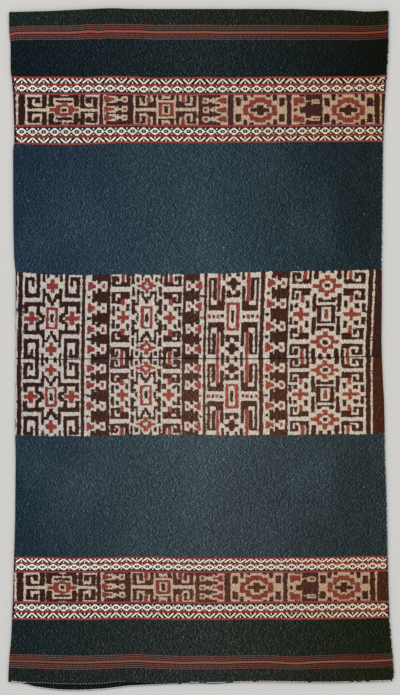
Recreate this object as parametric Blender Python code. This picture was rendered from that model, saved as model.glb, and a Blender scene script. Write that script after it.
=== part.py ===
"""Ikat tube skirt laid flat, seen on its front.

Two woven cotton panels are sewn edge to edge. Each panel is a tube of cloth, pressed
flat into a front layer and a back layer that turn into each other at the side folds.
Metres, +X to the right, +Y up the cloth, +Z towards the viewer. The back layer lies on
z = 0, and the origin is on that plane under the middle of the cloth.
"""
import math

import bmesh
import bpy
import numpy as np

MM = 0.001

# Cloth
CLOTH_THICKNESS = 1.2 * MM      # warp-faced cloth of hand-spun cotton
LAYER_GAP = 1.0 * MM            # air between the two layers beside the side folds
SEAM_GAP = 0.3 * MM             # between the two panels' sewn edges
FOLD_WIDTH = 45.0 * MM          # from a side fold inwards, where the front layer is held flat

# Mesh
COLUMNS = 32                    # cells across each layer
FOLD_CELLS = 4                  # cells round each side fold

# Sides of each panel: height, left fold, right fold, in mm from the middle of the photo's cloth
UPPER_SIDES = [
    (-15, -315.9, 307.1),
    (16, -315.9, 306.3),
    (84, -315.9, 307.1),
    (132, -315.9, 307.1),
    (152, -318.5, 307.4),
    (203, -319.7, 308.1),
    (271, -320.2, 308.8),
    (339, -320.2, 309.4),
    (356, -318.0, 309.9),
    (424, -319.7, 312.2),
    (462, -322.0, 315.6),
    (469, -324.5, 316.4),
    (518, -324.5, 319.0),
    (542, -327.1, 319.0),
    (577, -327.1, 319.0),
]
LOWER_SIDES = [
    (-570, -328.4, 325.0),
    (-556, -328.4, 328.4),
    (-520, -326.3, 326.3),
    (-494, -323.6, 323.8),
    (-455, -321.9, 320.4),
    (-410, -320.1, 318.5),
    (-333, -318.0, 317.1),
    (-256, -315.8, 315.6),
    (-188, -315.8, 313.1),
    (-140, -316.8, 312.0),
    (-86, -316.4, 310.8),
    (-52, -316.1, 308.8),
    (-15, -315.9, 307.1),
]

# Edges from left to right: distance from the middle, height, in mm
TOP_EDGE = [
    (-327, 574.0), (-257, 575.7), (-189, 579.1), (-152, 580.8), (-121, 579.1),
    (168, 579.1), (202, 577.4), (244, 577.4), (278, 574.9), (295, 574.9), (319, 576.6),
]
SEAM_EDGE = [
    (-316, -15.0), (-232, -16.6), (-155, -14.7), (-36, -14.7),
    (49, -15.9), (151, -14.9), (287, -11.6), (307, -11.3),
]
FRONT_HEM = [
    (-328, -564.1), (-308, -566.7), (-249, -568.9), (-206, -569.8), (-172, -569.2),
    (-147, -565.8), (-121, -565.0), (-79, -568.1), (-45, -567.0), (-4, -566.4),
    (23, -567.4), (57, -565.5), (108, -564.5), (168, -565.8), (219, -566.4),
    (278, -565.0), (325, -563.3),
]
BACK_HEM = [
    (-328, -564.1), (-308, -566.7), (-301, -571.0), (-283, -575.2), (-249, -579.4),
    (-215, -580.8), (-174, -578.9), (-152, -576.9), (-130, -573.5), (-79, -570.9),
    (-45, -569.2), (-4, -567.5), (23, -568.9), (57, -566.2), (108, -563.8),
    (168, -564.7), (278, -563.3), (325, -563.3),
]
BACK_TOP_DROP = 1.5 * MM        # the back layer's top edge hides this far below the front's

# Swells of the front layer: across, up, half width, half height, rise, in mm
SWELLS = [
    (-180, 250, 110, 90, 1.2),
    (60, 235, 90, 80, 1.5),
    (215, 300, 70, 100, 1.0),
    (-200, -250, 80, 110, 1.1),
    (-15, -260, 60, 120, 1.6),
    (165, -240, 90, 100, 1.2),
    (-235, -555, 55, 45, 1.5),
    (-70, -555, 65, 40, 1.1),
    (150, -550, 80, 40, 1.3),
    (-240, 555, 65, 40, 1.1),
    (-150, 570, 45, 35, 1.5),
    (100, 560, 95, 40, 1.0),
    (-220, -15, 40, 32, 0.8),
    (-110, -15, 36, 30, 0.9),
    (5, -15, 42, 32, 0.7),
    (115, -15, 38, 30, 0.9),
    (220, -15, 40, 32, 0.8),
]

# Finish: indigo dyed cotton
CLOTH_COLOUR = (0.020, 0.042, 0.066, 1.0)
CLOTH_ROUGHNESS = 0.9


def clear_scene():
    for leftover in list(bpy.data.objects):
        bpy.data.objects.remove(leftover, do_unlink=True)


def along(table, position, column=1):
    """Value of a table's column in metres, straight between its rows."""
    rows = np.array(table, dtype=float) * MM
    return float(np.interp(position, rows[:, 0], rows[:, column]))


def middle_of_cloth():
    """Middle of the whole outline, which becomes the part's origin."""
    lefts = [row[1] for row in UPPER_SIDES + LOWER_SIDES]
    rights = [row[2] for row in UPPER_SIDES + LOWER_SIDES]
    lowest = min(height for _, height in BACK_HEM)
    highest = max(height for _, height in TOP_EDGE)
    return (min(lefts) + max(rights)) / 2 * MM, (lowest + highest) / 2 * MM


def front_rise(x, y, left, right):
    """Height of the front layer's face above the folds' height, nothing at the folds."""
    inwards = min(x - left, right - x)
    hold = min(1.0, max(0.0, inwards / FOLD_WIDTH))
    rise = 0.0
    for across, up, half_width, half_height, swell in SWELLS:
        far = ((x / MM - across) / half_width) ** 2 + ((y / MM - up) / half_height) ** 2
        rise += swell * MM * math.exp(-far)
    return rise * math.sin(hold * math.pi / 2)


def loop_stations():
    """Stations round the flattened tube, counter-clockwise seen from below the hem.

    Each is (fraction across, angle round the fold, share of the front layer). The angle
    is None on the two layers.
    """
    across = [column / COLUMNS for column in range(COLUMNS + 1)]
    turns = [turn / FOLD_CELLS for turn in range(1, FOLD_CELLS)]
    stations = [(fraction, None, 0.0) for fraction in across]
    stations += [(1.0, math.pi * (turn - 0.5), turn) for turn in turns]
    stations += [(fraction, None, 1.0) for fraction in reversed(across)]
    stations += [(0.0, math.pi * (turn + 0.5), 1.0 - turn) for turn in turns]
    return stations


def loop_points(station, y, left, right):
    """Outer and inner point of the cloth at one station of the loop."""
    fraction, angle, front = station
    radius = CLOTH_THICKNESS + LAYER_GAP / 2
    first, last = left + radius, right - radius
    x = first + fraction * (last - first)
    if angle is not None:
        inner = radius - CLOTH_THICKNESS
        lean, lift = math.cos(angle), math.sin(angle)
        outer_point = (x + radius * lean, y, radius + radius * lift)
        return outer_point, (x + inner * lean, y, radius + inner * lift)
    if front:
        face = 2 * radius + front_rise(x, y, left, right)
        return (x, y, face), (x, y, face - CLOTH_THICKNESS)
    return (x, y, 0.0), (x, y, CLOTH_THICKNESS)


def build_panel(name, sides, low_edge, high_edge):
    """One panel as a closed tube of cloth.

    low_edge and high_edge give the panel's lower and upper edge at a place across the
    cloth and a share of the front layer.
    """
    middle_x, middle_y = middle_of_cloth()
    stations = loop_stations()
    count = len(stations)
    bm = bmesh.new()
    outer, inner = [], []
    for row, (height, left, right) in enumerate(sides):
        left, right = left * MM, right * MM
        outer_row, inner_row = [], []
        for station in stations:
            fraction, _, front = station
            x = left + fraction * (right - left)
            y = height * MM
            if row == 0:
                y = low_edge(x, front)
            elif row == len(sides) - 1:
                y = high_edge(x, front)
            for point, line in zip(loop_points(station, y, left, right), (outer_row, inner_row)):
                line.append(bm.verts.new((point[0] - middle_x, point[1] - middle_y, point[2])))
        outer.append(outer_row)
        inner.append(inner_row)
    for here in range(count):
        there = (here + 1) % count
        for low in range(len(sides) - 1):
            high = low + 1
            bm.faces.new((outer[low][here], outer[high][here], outer[high][there], outer[low][there]))
            bm.faces.new((inner[low][here], inner[low][there], inner[high][there], inner[high][here]))
        bm.faces.new((outer[0][here], outer[0][there], inner[0][there], inner[0][here]))
        bm.faces.new((outer[-1][here], inner[-1][here], inner[-1][there], outer[-1][there]))
    mesh = bpy.data.meshes.new(name)
    bm.to_mesh(mesh)
    bm.free()
    panel = bpy.data.objects.new(name, mesh)
    bpy.context.scene.collection.objects.link(panel)
    panel.data.materials.append(cloth_material(name))
    return panel


def cloth_material(name):
    material = bpy.data.materials.new(name + " indigo cotton")
    material.use_nodes = True
    shader = material.node_tree.nodes["Principled BSDF"]
    shader.inputs["Base Color"].default_value = CLOTH_COLOUR
    shader.inputs["Roughness"].default_value = CLOTH_ROUGHNESS
    shader.inputs["Metallic"].default_value = 0.0
    material.diffuse_color = CLOTH_COLOUR
    return material


def hem(x, front):
    """Lower edge of the skirt: the back layer's hem shows past the front's at the left."""
    return along(BACK_HEM, x) * (1 - front) + along(FRONT_HEM, x) * front


def top(x, front):
    return along(TOP_EDGE, x) - BACK_TOP_DROP * (1 - front)


def seam_below(x, front):
    """Lower panel's sewn edge."""
    return along(SEAM_EDGE, x) - SEAM_GAP / 2


def seam_above(x, front):
    """Upper panel's sewn edge."""
    return along(SEAM_EDGE, x) + SEAM_GAP / 2


def main():
    clear_scene()
    build_panel("upper_panel", UPPER_SIDES, seam_above, top)
    build_panel("lower_panel", LOWER_SIDES, hem, seam_below)


main()
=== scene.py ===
"""Ikat tube skirt laid flat, dressed for its render.

Each woven panel is one closed tube of cotton sheet that replaces its solid in the frame. The
tied and dyed figures are charted in bars, the patterned bands carry raised floats of
white yarn, and the two panels are whip-stitched edge to edge. Places on the cloth are given in
mm: across is the distance to the right of the middle, and lane is the distance from the seam
in the weaver's plan, which is the same on both panels.
"""
import logging
import math
from dataclasses import dataclass
from enum import Enum, IntEnum
from functools import partial
from typing import Any, Callable, Mapping, Optional, Sequence

import bpy
import numpy as np
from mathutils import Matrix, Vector
from mathutils.bvhtree import BVHTree


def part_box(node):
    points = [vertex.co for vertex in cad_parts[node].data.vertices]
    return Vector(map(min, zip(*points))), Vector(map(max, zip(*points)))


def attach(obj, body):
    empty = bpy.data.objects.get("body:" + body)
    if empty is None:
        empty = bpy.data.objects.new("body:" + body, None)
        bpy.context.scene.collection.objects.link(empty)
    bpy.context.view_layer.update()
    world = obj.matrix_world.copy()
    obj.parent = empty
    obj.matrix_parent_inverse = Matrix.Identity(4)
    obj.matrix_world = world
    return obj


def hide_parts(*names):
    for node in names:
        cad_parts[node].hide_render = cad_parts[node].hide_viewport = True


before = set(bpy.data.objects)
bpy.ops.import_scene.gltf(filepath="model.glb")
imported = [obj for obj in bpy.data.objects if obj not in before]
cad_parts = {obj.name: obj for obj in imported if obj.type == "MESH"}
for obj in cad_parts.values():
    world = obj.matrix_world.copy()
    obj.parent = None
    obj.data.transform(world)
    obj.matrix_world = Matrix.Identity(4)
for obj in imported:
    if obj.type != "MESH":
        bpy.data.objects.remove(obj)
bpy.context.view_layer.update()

LOG = logging.getLogger("ikat_cloth")

MM = 0.001
HALF_CLOTH = 320.0         # mm from the middle, where the cloth's colours have drifted fully
Wander = Sequence[tuple[float, float]]
Three = tuple[str, str, str]
Socket = bpy.types.NodeSocket
Array = np.ndarray
Piece = bpy.types.Object


class Dye(IntEnum):
    """Colours of the tied warp."""

    BROWN = 0
    CREAM = 1
    RED = 2


BROWN, CREAM, RED = Dye.BROWN, Dye.CREAM, Dye.RED


def linear(hex_colour: str) -> tuple[float, float, float, float]:
    """Turn an sRGB hex colour into the linear colour that a shader takes.

    Args:
        hex_colour: Colour such as "#22384a".

    Returns:
        Linear red, green, blue and alpha.
    """
    channels = [int(hex_colour[at:at + 2], 16) / 255 for at in (1, 3, 5)]
    turned = [c / 12.92 if c <= 0.04045 else ((c + 0.055) / 1.055) ** 2.4 for c in channels]
    return (turned[0], turned[1], turned[2], 1.0)


class Node(Enum):
    """Kinds of shader node: Blender's name, the inputs in order, the output and the settings."""

    ADD = "Math", (0, 1), 0, {"operation": "ADD"}
    SUBTRACT = "Math", (0, 1), 0, {"operation": "SUBTRACT"}
    MULTIPLY = "Math", (0, 1), 0, {"operation": "MULTIPLY"}
    MAXIMUM = "Math", (0, 1), 0, {"operation": "MAXIMUM"}
    LESS_THAN = "Math", (0, 1), 0, {"operation": "LESS_THAN"}
    GREATER_THAN = "Math", (0, 1), 0, {"operation": "GREATER_THAN"}
    ABSOLUTE = "Math", (0,), 0, {"operation": "ABSOLUTE"}
    EXPONENT = "Math", (0,), 0, {"operation": "EXPONENT"}
    SHIFT = "VectorMath", (0, 1), 0, {"operation": "ADD"}
    DIVIDE = "VectorMath", (0, 1), 0, {"operation": "DIVIDE"}
    FLOOR = "VectorMath", (0,), 0, {"operation": "FLOOR"}
    SCALE = "VectorMath", (0, "Scale"), 0, {"operation": "SCALE"}
    MIX = "Mix", (0, 6, 7), 2, {"data_type": "RGBA"}
    RANGE = "MapRange", (0, 1, 2, 3, 4), 0, {"clamp": True}
    RAMP = "ValToRGB", (0,), 0, {}
    STRETCH = "Mapping", ("Vector", "Scale"), 0, {}
    SOFT_NOISE = "TexNoise", ("Vector", "Scale", "Detail"), 0, {}
    CELL_NOISE = "TexWhiteNoise", ("Vector",), 0, {"noise_dimensions": "3D"}
    WEAVE = "Attribute", (), "Vector", {"attribute_name": "weave"}
    DYE = "Attribute", (), "Vector", {"attribute_name": "dye"}
    PLACE = "TexCoord", (), "Object", {}
    SPLIT = "SeparateXYZ", (0,), 0, {}
    BUMP = "Bump", ("Strength", "Distance", "Height"), 0, {}


Adder = Callable[..., Socket]


def join(node: bpy.types.Node, inputs: Mapping[Any, Any]) -> None:
    """Set a node's inputs, or link them where an output socket is given.

    Args:
        node: The node.
        inputs: Values or output sockets, by the name or number of the input.
    """
    for name, value in inputs.items():
        if isinstance(value, Socket):
            node.id_data.links.new(value, node.inputs[name])
        else:
            node.inputs[name].default_value = value


def add_node(tree: bpy.types.NodeTree, kind: Node, *values: Any, stops: Sequence[str] = ()) -> Socket:
    """Add a node with its settings and links.

    Args:
        tree: Node tree of the material.
        kind: Kind of node.
        values: Values or output sockets for the kind's inputs, in their order.
        stops: Hex colours of a colour ramp at the cloth's left, middle and right.

    Returns:
        The output that the kind names.
    """
    name, inputs, output, settings = kind.value
    node = tree.nodes.new("ShaderNode" + name)
    for setting, value in settings.items():
        setattr(node, setting, value)
    join(node, dict(zip(inputs, values)))
    if stops:
        elements = node.color_ramp.elements
        elements.new(0.5)
        for element, place, colour in zip(elements, (0.05, 0.5, 0.95), stops):
            element.position = place
            element.color = linear(colour)
    return node.outputs[output]


def new_material(name: str) -> tuple[bpy.types.Material, bpy.types.Node, Adder]:
    """Start a material.

    Args:
        name: Name of the real material.

    Returns:
        The material, its shader, and add_node for its tree.
    """
    made = bpy.data.materials.new(name)
    made.use_nodes = True
    return made, made.node_tree.nodes["Principled BSDF"], partial(add_node, made.node_tree)


def deselect_all() -> None:
    """Leave nothing selected, since operators act on all that is selected."""
    bpy.ops.object.select_all(action="DESELECT")


def link_piece(name: str, data: bpy.types.ID) -> Piece:
    """Put a finished mesh, a lamp or a camera into the scene.

    Args:
        name: Its name.
        data: The mesh, the lamp or the camera.

    Returns:
        Its object.
    """
    piece = bpy.data.objects.new(name, data)
    bpy.context.scene.collection.objects.link(piece)
    return piece


def read_grid(field: Array, row: Array, column: Array) -> Array:
    """Read a grid of values between its points.

    Args:
        field: The grid.
        row: Row number of each place, with its fraction.
        column: Column number of each place, with its fraction.

    Returns:
        The values.
    """
    row = np.clip(row, 0, field.shape[0] - 1.001)
    column = np.clip(column, 0, field.shape[1] - 1.001)
    low, left = row.astype(int), column.astype(int)
    up, over = row - low, column - left
    below = field[low, left] * (1 - over) + field[low, left + 1] * over
    above = field[low + 1, left] * (1 - over) + field[low + 1, left + 1] * over
    return below * (1 - up) + above * up


# Charts of the tied figures
#
# A chart is one quarter of a figure, from its middle outwards. Each run gives its dye and then its
# bars, each with its near and far side and its low and high side, counted from the figure's two
# middle lines in binding steps. A later bar covers an earlier one, and the quarters mirror each
# other.
#
# The standing figures come in columns. Their bars run from a start to an end away from the
# column's pale side, and reach as far above the figure's middle as below it.

Chart = Sequence[tuple[Any, ...]]
BEYOND = 99                # steps, past every band's edge

SPIRAL_STAR: Chart = (
    (BROWN, (24, 27.6, 20.5, 40), (18, 27.6, 36.6, 40), (18, 21, 31, 40), (12.5, 27.6, 20.5, 24.5),
     (12.5, 16, 20.5, 48), (7.5, 10, 35.5, 48), (3, 5.5, 39.5, 48), (7, 9.8, 11, 29.5), (7, 28, 12, 16),
     (24.2, 28, 4.8, 16), (12.5, 16, 3.5, 12), (9, 13, 1.8, 5.6), (7, 10.3, 0, 3.2), (3, 7.5, 21.5, 24),
     (2, 5, 18.6, 21.8), (1, 3.8, 16.5, 18.8), (0, 1.6, 12.5, 17)),
    (RED, (0, 5.7, 29, 34), (0, 1.9, 24.6, 38), (13, 27.8, 0, 2.2), (18, 22.6, 0, 6.8), (0, 5.8, 0, 11)),
    (CREAM, (0, 3.3, 0, 8.6)),
    (BROWN, (0, 1.6, 0, 3.8)),
)
DOUBLE_HOOK_STAR: Chart = (
    (BROWN, (31.2, 34.8, 31, 41), (27.6, 34.8, 39, 41), (27.6, 29.8, 35, 41), (17, 34.8, 30.8, 32.8),
     (17, 20.4, 31, 48), (17, 25.8, 31, 35), (13, 20, 41, 48), (13, 15.2, 33.4, 48)),
    (RED, (22.2, 25.8, 35, 48)),
    (BROWN, (7.6, 10.8, 35, 40), (2.6, 6, 40.6, 48), (4, 6, 36.4, 41), (12, 15, 21, 30),
     (17, 34.6, 23.2, 25.4), (17, 25.8, 18.6, 25), (31.2, 34.6, 14, 25), (26, 34.6, 14, 16),
     (26, 29, 14, 20.2)),
    (RED, (22, 25.8, 12, 18.6)),
    (BROWN, (31.6, 34.4, 2, 11), (27, 29.8, 6.6, 10.8), (17.2, 20.4, 6.6, 13)),
    (RED, (17.2, 29.4, 0, 2), (21.6, 25.2, 0, 6.6), (0, 2, 35, 38.8), (0.4, 6, 32.4, 34.8),
     (2.4, 9.8, 29.8, 32.4), (0.4, 5.2, 27.8, 29.8), (0, 1.8, 23.6, 27.8)),
    (BROWN, (8, 9.8, 12.4, 28), (12, 15, 2.4, 18), (8, 15, 12.4, 15.2), (9.6, 12.4, 4.6, 7),
     (8.2, 10.4, 0, 3.6), (3, 8, 24, 25.8), (3, 5.2, 20, 25), (1, 3.6, 17.2, 20.8), (0, 1.8, 14, 18)),
    (RED, (0, 5.8, 0, 11.2)),
    (CREAM, (0, 3.1, 0, 9.2)),
    (BROWN, (0, 1.5, 0, 4)),
)
TALL_SPIRALS: Chart = (
    (BROWN, (22.6, 24.8, 6, 37.4), (16.8, 24.8, 35.4, 37.4), (17, 20.4, 16, 37.4), (9, 24.8, 6, 10.6)),
    (RED, (13.2, 16.2, 15, 48)),
    (BROWN, (8.8, 11.6, 6, 29.6), (8.8, 15.8, 6, 15), (8.2, 10.8, 35.2, 48)),
    (RED, (22.6, 25.6, 0, 1.9)),
    (BROWN, (18, 20.6, 0, 1.6)),
    (RED, (13.6, 16.6, 0, 1.9)),
    (BROWN, (9.5, 12.1, 0, 1.6), (2.6, 5.6, 39, 48), (0, 6.8, 30.4, 33.4), (0, 3, 28.4, 35.2),
     (0, 1.8, 26, 37.6), (2.6, 6.6, 18.6, 25.2), (0, 6.6, 18.6, 20.8)),
    (RED, (0, 6.4, 0, 13.8)),
    (CREAM, (0, 3.4, 0, 11.4)),
    (BROWN, (0, 1.3, 0, 6)),
)
LOZENGE_TOWER: Chart = (
    (BROWN, (32.6, 35, 30, 40.4), (27, 35, 38.4, 40.4), (27, 30.4, 34.2, 40.4), (16.3, 35, 30, 31.8),
     (16.3, 25, 30, 34), (16.3, 18.8, 30, 48)),
    (RED, (21, 24.4, 34.2, 48)),
    (BROWN, (9.4, 13.6, 34.4, 48), (2.4, 6, 40, 48)),
    (RED, (0, 14.4, 25.6, 29.6), (0, 8.2, 21.4, 34.2), (0, 2.4, 17.4, 38.4)),
    (CREAM, (0, 5.6, 25.4, 30.2), (0, 3.4, 23.4, 32.4)),
    (BROWN, (0, 2.3, 26.2, 29.8), (16.4, 35.2, 23, 25), (16.6, 26, 18.6, 25), (32.8, 35.2, 14.2, 25),
     (28.2, 35.2, 14.2, 16), (28.2, 31, 14.2, 19.6)),
    (RED, (22.6, 26, 11.4, 18.6)),
    (BROWN, (10.8, 14, 2.6, 20.2), (0, 8.5, 12, 13.8), (4.2, 8.5, 12, 16.2), (0, 8.8, 0, 9)),
    (CREAM, (0, 5, 0, 7.2)),
    (RED, (0, 2, 0, 4.8)),
    (BROWN, (33.8, 36.4, 2.4, 10.2), (28.4, 31.8, 6.4, 10.4), (17.6, 20.8, 6.4, 13)),
    (RED, (17, 33, 0, 1.9), (23.2, 26.8, 0, 6.4)),
)
HOOKS_AND_LOZENGE: Chart = (
    (BROWN, (32.2, 37, 2.4, 12.8), (24.5, 37, 10.8, 12.8), (24.5, 29.6, 6.7, 12.8), (17.8, 37, 1.6, 3.2),
     (17.8, 22.6, 1.6, 16), (10.8, 16, 3.2, 15.4), (0, 8.8, 7.4, 9.8), (0, 10.8, 12, 13.6),
     (4.4, 16, 12.2, 15.4)),
    (RED, (0, 15.6, 0, 1.8), (0, 9, 0, 5.4), (0, 3, 0, 6.8)),
    (CREAM, (0, 4, 0, 3.3)),
    (BROWN, (0, 2.2, 0, 1.6)),
)
HOOKS_AND_FRAME: Chart = (
    (BROWN, (27, 30.6, 2, 14), (20.8, 30.6, 12.6, 14), (20.8, 24.2, 6.6, 14), (16, 30.6, 2, 3.4),
     (10, 18.4, 2, 7.4), (10, 13, 2, 16)),
    (RED, (15.6, 19, 8, 16)),
    (BROWN, (0, 8, 9.2, 10.6), (4.4, 8, 9.2, 16)),
    (RED, (0, 2.2, 13.2, 16), (0, 7.5, 0, 7)),
    (CREAM, (0, 4.1, 0, 4.9)),
    (BROWN, (0, 1.7, 0, 3.4)),
)
STEPPED_CROSS: Chart = (
    (BROWN, (19, 24.3, 4, 12), (13, 16.6, 9.4, 16), (6.8, 10, 13, 16)),
    (RED, (0, 16.8, 0, 5.2), (0, 11, 0, 10), (0, 5.2, 0, 12.2)),
    (CREAM, (0, 11.6, 0, 3), (0, 6.6, 0, 6), (0, 4, 0, 7.4)),
    (BROWN, (0, 9, 0, 1.7), (0, 2.8, 0, 4.8)),
)
TALL_FIGURE: Chart = (
    (CREAM, (6, 12, 4.8), (10.2, 12, 7), (12, 16, 2.2), (15.5, 22, 5.2)),
    (RED, (2.6, 5.2, 4.4), (5.2, 7.2, 3.4), (7.2, 10.3, 2), (16.6, 19.6, 2)),
)
SMALL_FIGURE: Chart = (
    (CREAM, (3.4, 13, 3.5), (13, 19, 1.3), (13.4, 15.6, 3), (18.8, 25.2, 3.2)),
    (RED, (1.6, 5.4, 3), (5.4, 8, 2), (8, 11.6, 1.1), (20.4, 23.6, 1.2)),
)
CREEPING_FIGURE: Chart = (
    (BROWN, (8.7, 33, 0, 3), (14.8, 33, 0, 6), (14.8, 33, 11, 16), (14.8, 20, 6, 7.6),
     (14.8, 20, 9.9, 11), (29, 33, 0, 16)),
    (RED, (2.6, 13, 6.6, 12.4), (2.6, 6.6, 4.6, 12.4)),
    (BROWN, (2.6, 5.6, 0, 1.7)),
    (RED, (22, 27.4, 7.9, 9.4)),
    (BROWN, (8, 13, 13.8, 16)),
)

# Bands of the plan, as lanes
IKAT_EDGE = 144.0
FIELD_MIDDLE = 184.0       # a lane well inside the plain field
FIELD_EDGE = 366.6         # where the patterned band starts
BAND_MIDDLE = 422.6        # middle of the patterned band
BAND_EDGE = 478.6          # where it ends
NARROW_HALF = 25.0         # half height of its tied part
BAND_HALF = 56.0           # half height of the whole band
STRIPES_MIDDLE = 554.5
STRIPES_HALF = 13.4        # half height of the group of red stripes
RED_LINES = (26.9, 43.5, 54.4)   # distances of the red lines from the band's middle
LOZENGE_LANE = 35.9        # distance of the lozenge row from the band's middle
ZIGZAG_LANE = 48.9         # distance of the chevron row from it
EDGE_LANE = 594.0          # the panel's outer edge


def bars(chart: Chart) -> list[tuple[Any, ...]]:
    """Every bar of a chart with its dye, in the order they are laid."""
    return [(dye, *sides) for dye, *run in chart for sides in run]


@dataclass
class Block:
    """A mirrored figure in its place on a tied band, in steps from the middle of the cloth.

    Attributes:
        chart: Bars of one quarter.
        centre: Place of its upright middle line.
        reach_left: Width of its left half.
        reach_right: Width of its right half.
        half_width: Half width that the chart is drawn for.
        raised: How far its level middle line lies above the band's.
        up: Stretch of the quarters above that line.
        down: Stretch of the quarters below it.
        right_ease: Drawn and woven places on the right half, where it isn't evenly stretched.
    """

    chart: Chart
    centre: float
    reach_left: float
    reach_right: float
    half_width: float
    raised: float = 0.0
    up: float = 1.0
    down: float = 1.0
    right_ease: Sequence[tuple[float, float]] = ()

    def paint(self, band: "TiedBand") -> None:
        """Lay the figure's cream ground and its bars in all four quarters.

        Args:
            band: The tied band.
        """
        band.fill(CREAM, self.centre - self.reach_left, self.centre + self.reach_right)
        left_ease = ((0.0, 0.0), (self.half_width, self.reach_left))
        right_ease = self.right_ease or ((0.0, 0.0), (self.half_width, self.reach_right))
        for side, ease in ((-1, left_ease), (1, right_ease)):
            drawn, woven = zip(*ease)
            for dye, near, far, low, high in bars(self.chart):
                start, end = (self.centre + side * place for place in np.interp((near, far), drawn, woven))
                for turn in (self.up, -self.down):
                    band.fill(dye, start, end, self.raised + turn * low, self.raised + turn * high)


@dataclass
class FigureColumn:
    """A column of standing figures, in steps; facing is 1 where the pale side is on the left."""

    figure: Chart
    pale_side: float
    facing: int
    pale_width: float
    width: float
    heights: Sequence[float]
    drawn_width: float
    dots: Sequence[Dye] = ()
    tallness: float = 1.0
    dot_sides: tuple[float, float] = (2.0, 4.8)
    dot_half: float = 1.3

    def paint(self, band: "TiedBand") -> None:
        """Lay the column's two grounds, its figures and the dots between them.

        Args:
            band: The tied band.
        """
        scale = self.facing * self.width / self.drawn_width
        band.fill(CREAM, self.pale_side, self.pale_side + self.pale_width * scale)
        for height in self.heights:
            for dye, start, end, half in bars(self.figure):
                reach = half * self.tallness
                band.fill(dye, self.pale_side + start * scale, self.pale_side + end * scale,
                          height - reach, height + reach)
        near, far = (self.pale_side + side * scale for side in self.dot_sides)
        for dye, below, above in zip(self.dots, self.heights, self.heights[1:]):
            middle = (below + above) / 2
            band.fill(dye, near, far, middle - self.dot_half, middle + self.dot_half)


@dataclass
class PlainColumn:
    """An upright line or strip of one dye, in steps."""

    dye: Dye
    left: float
    right: float

    def paint(self, band: "TiedBand") -> None:
        """Lay the strip over the band's whole height."""
        band.fill(self.dye, self.left, self.right)


@dataclass
class TiedBand:
    """One tied band of a panel, charted on a fine raster before the panel's mesh reads it.

    Attributes:
        low: Its lowest height on the cloth, in mm.
        high: Its greatest height.
        mirror: Height of its mirror line.
        step: Height of one binding step.
        figures: Figures laid on it.
        lean: How far it leans to the right for each mm up, at places across the cloth.
        step_across: Width of one binding step.
        shift: How far it is moved to the right.
        margin: Height charted above and below it.
        cell: Size of one cell of the raster.
        half_width: Half the raster's width.
        reach: Depth past which none is told apart.
    """

    low: float
    high: float
    mirror: float
    step: float
    figures: Sequence[Any]
    lean: Wander
    step_across: float = 1.7
    shift: float = 0.0
    margin: float = 4.0
    cell: float = 0.5
    half_width: float = 335.0
    reach: float = 3.5

    def chart(self) -> None:
        """Paint the figures on brown and work out how deep each place lies in cream or red."""
        self.foot = self.low - self.margin
        rows = int(round((self.high + self.margin - self.foot) / self.cell))
        columns = int(round(2 * self.half_width / self.cell))
        self.dyes = np.full((rows, columns), int(BROWN), dtype=np.int8)
        for figure in self.figures:
            figure.paint(self)
        self.depths = [self.depth(self.dyes != int(BROWN)), self.depth(self.dyes == int(RED))]

    def fill(self, dye: Dye, start: float, end: float, low: float = -BEYOND, high: float = BEYOND) -> None:
        """Fill one bar.

        Args:
            dye: Its dye.
            start: Its one side, in steps from the cloth's middle.
            end: Its other side.
            low: Its foot, in steps from the band's mirror line.
            high: Its top.
        """
        across = sorted((start * self.step_across, end * self.step_across))
        heights = sorted((self.mirror + low * self.step, self.mirror + high * self.step))
        left, right = (max(int(round((x + self.half_width) / self.cell)), 0) for x in across)
        below, above = (max(int(round((y - self.foot) / self.cell)), 0) for y in heights)
        self.dyes[below:above, left:right] = int(dye)

    def depth(self, mask: Array) -> Array:
        """Distance into a mask in mm, negative outside it and cut off at the reach.

        Args:
            mask: Cells that belong to the colour.

        Returns:
            The signed distance of each cell.
        """
        span = int(self.reach / self.cell)
        offsets = [(i, j) for i in range(-span, span + 1) for j in range(-span, span + 1)
                   if 0 < math.hypot(i, j) <= span]
        offsets.sort(key=lambda pair: -math.hypot(*pair))
        outside = np.full(mask.shape, self.reach)
        inside = np.full(mask.shape, self.reach)
        for i, j in offsets:
            shifted = np.roll(mask, (i, j), axis=(0, 1))
            distance = (math.hypot(i, j) - 0.5) * self.cell
            outside[shifted] = distance
            inside[~shifted] = distance
        return np.where(mask, inside, -outside)

    def read(self, across: Array, height: Array) -> list[Array]:
        """Depth in mm into the pale parts and into the red parts.

        Args:
            across: Places across the cloth.
            height: Their heights on the cloth.

        Returns:
            The two depths of each place.
        """
        straight = across - np.interp(across, *zip(*self.lean)) * (height - self.mirror) - self.shift
        row = (height - self.foot) / self.cell - 0.5
        column = (straight + self.half_width) / self.cell - 0.5
        return [read_grid(field, row, column) for field in self.depths]


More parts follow.
